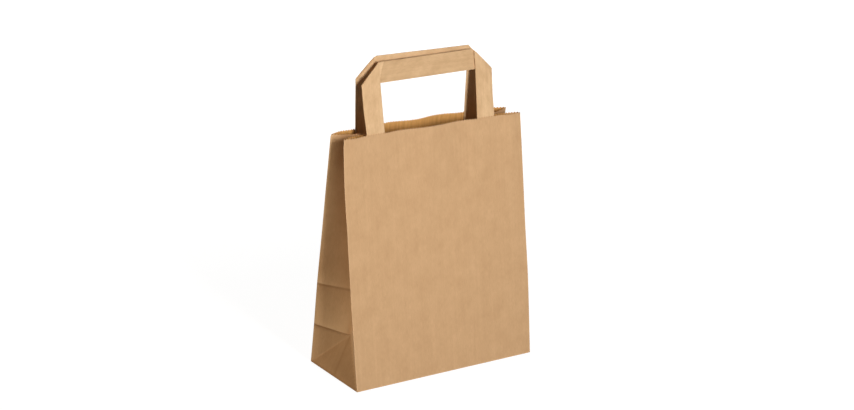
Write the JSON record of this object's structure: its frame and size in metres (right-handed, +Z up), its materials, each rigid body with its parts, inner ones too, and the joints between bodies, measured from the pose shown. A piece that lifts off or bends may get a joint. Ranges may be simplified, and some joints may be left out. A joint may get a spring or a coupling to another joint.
{
  "type": "paper carrier bag",
  "caption": "Brown kraft paper carrier bag with a flat block bottom, side gussets folded inwards, a tooth-cut mouth and two flat folded paper handles glued inside.",
  "frame": {"origin": "middle of the underside of the base, on the surface that the bag stands on", "axes": "+Z up; +X along the bag's width, to the right as seen from the front; the front panel faces -Y"},
  "size_m": [0.18, 0.0801, 0.2793],
  "materials": {
    "kraft_sheet": "matt brown kraft paper, machine-glazed, with faint fibre streaks",
    "kraft_strip": "matt brown kraft paper folded into a flat strip, a little lighter than the sheet",
    "kraft_patch": "matt brown kraft paper"
  },
  "bodies": {
    "root": {"bag_body": "kraft_sheet", "front_handle": "kraft_strip", "rear_handle": "kraft_strip", "front_handle_patch": "kraft_patch", "rear_handle_patch": "kraft_patch"}
  },
  "joints": []
}
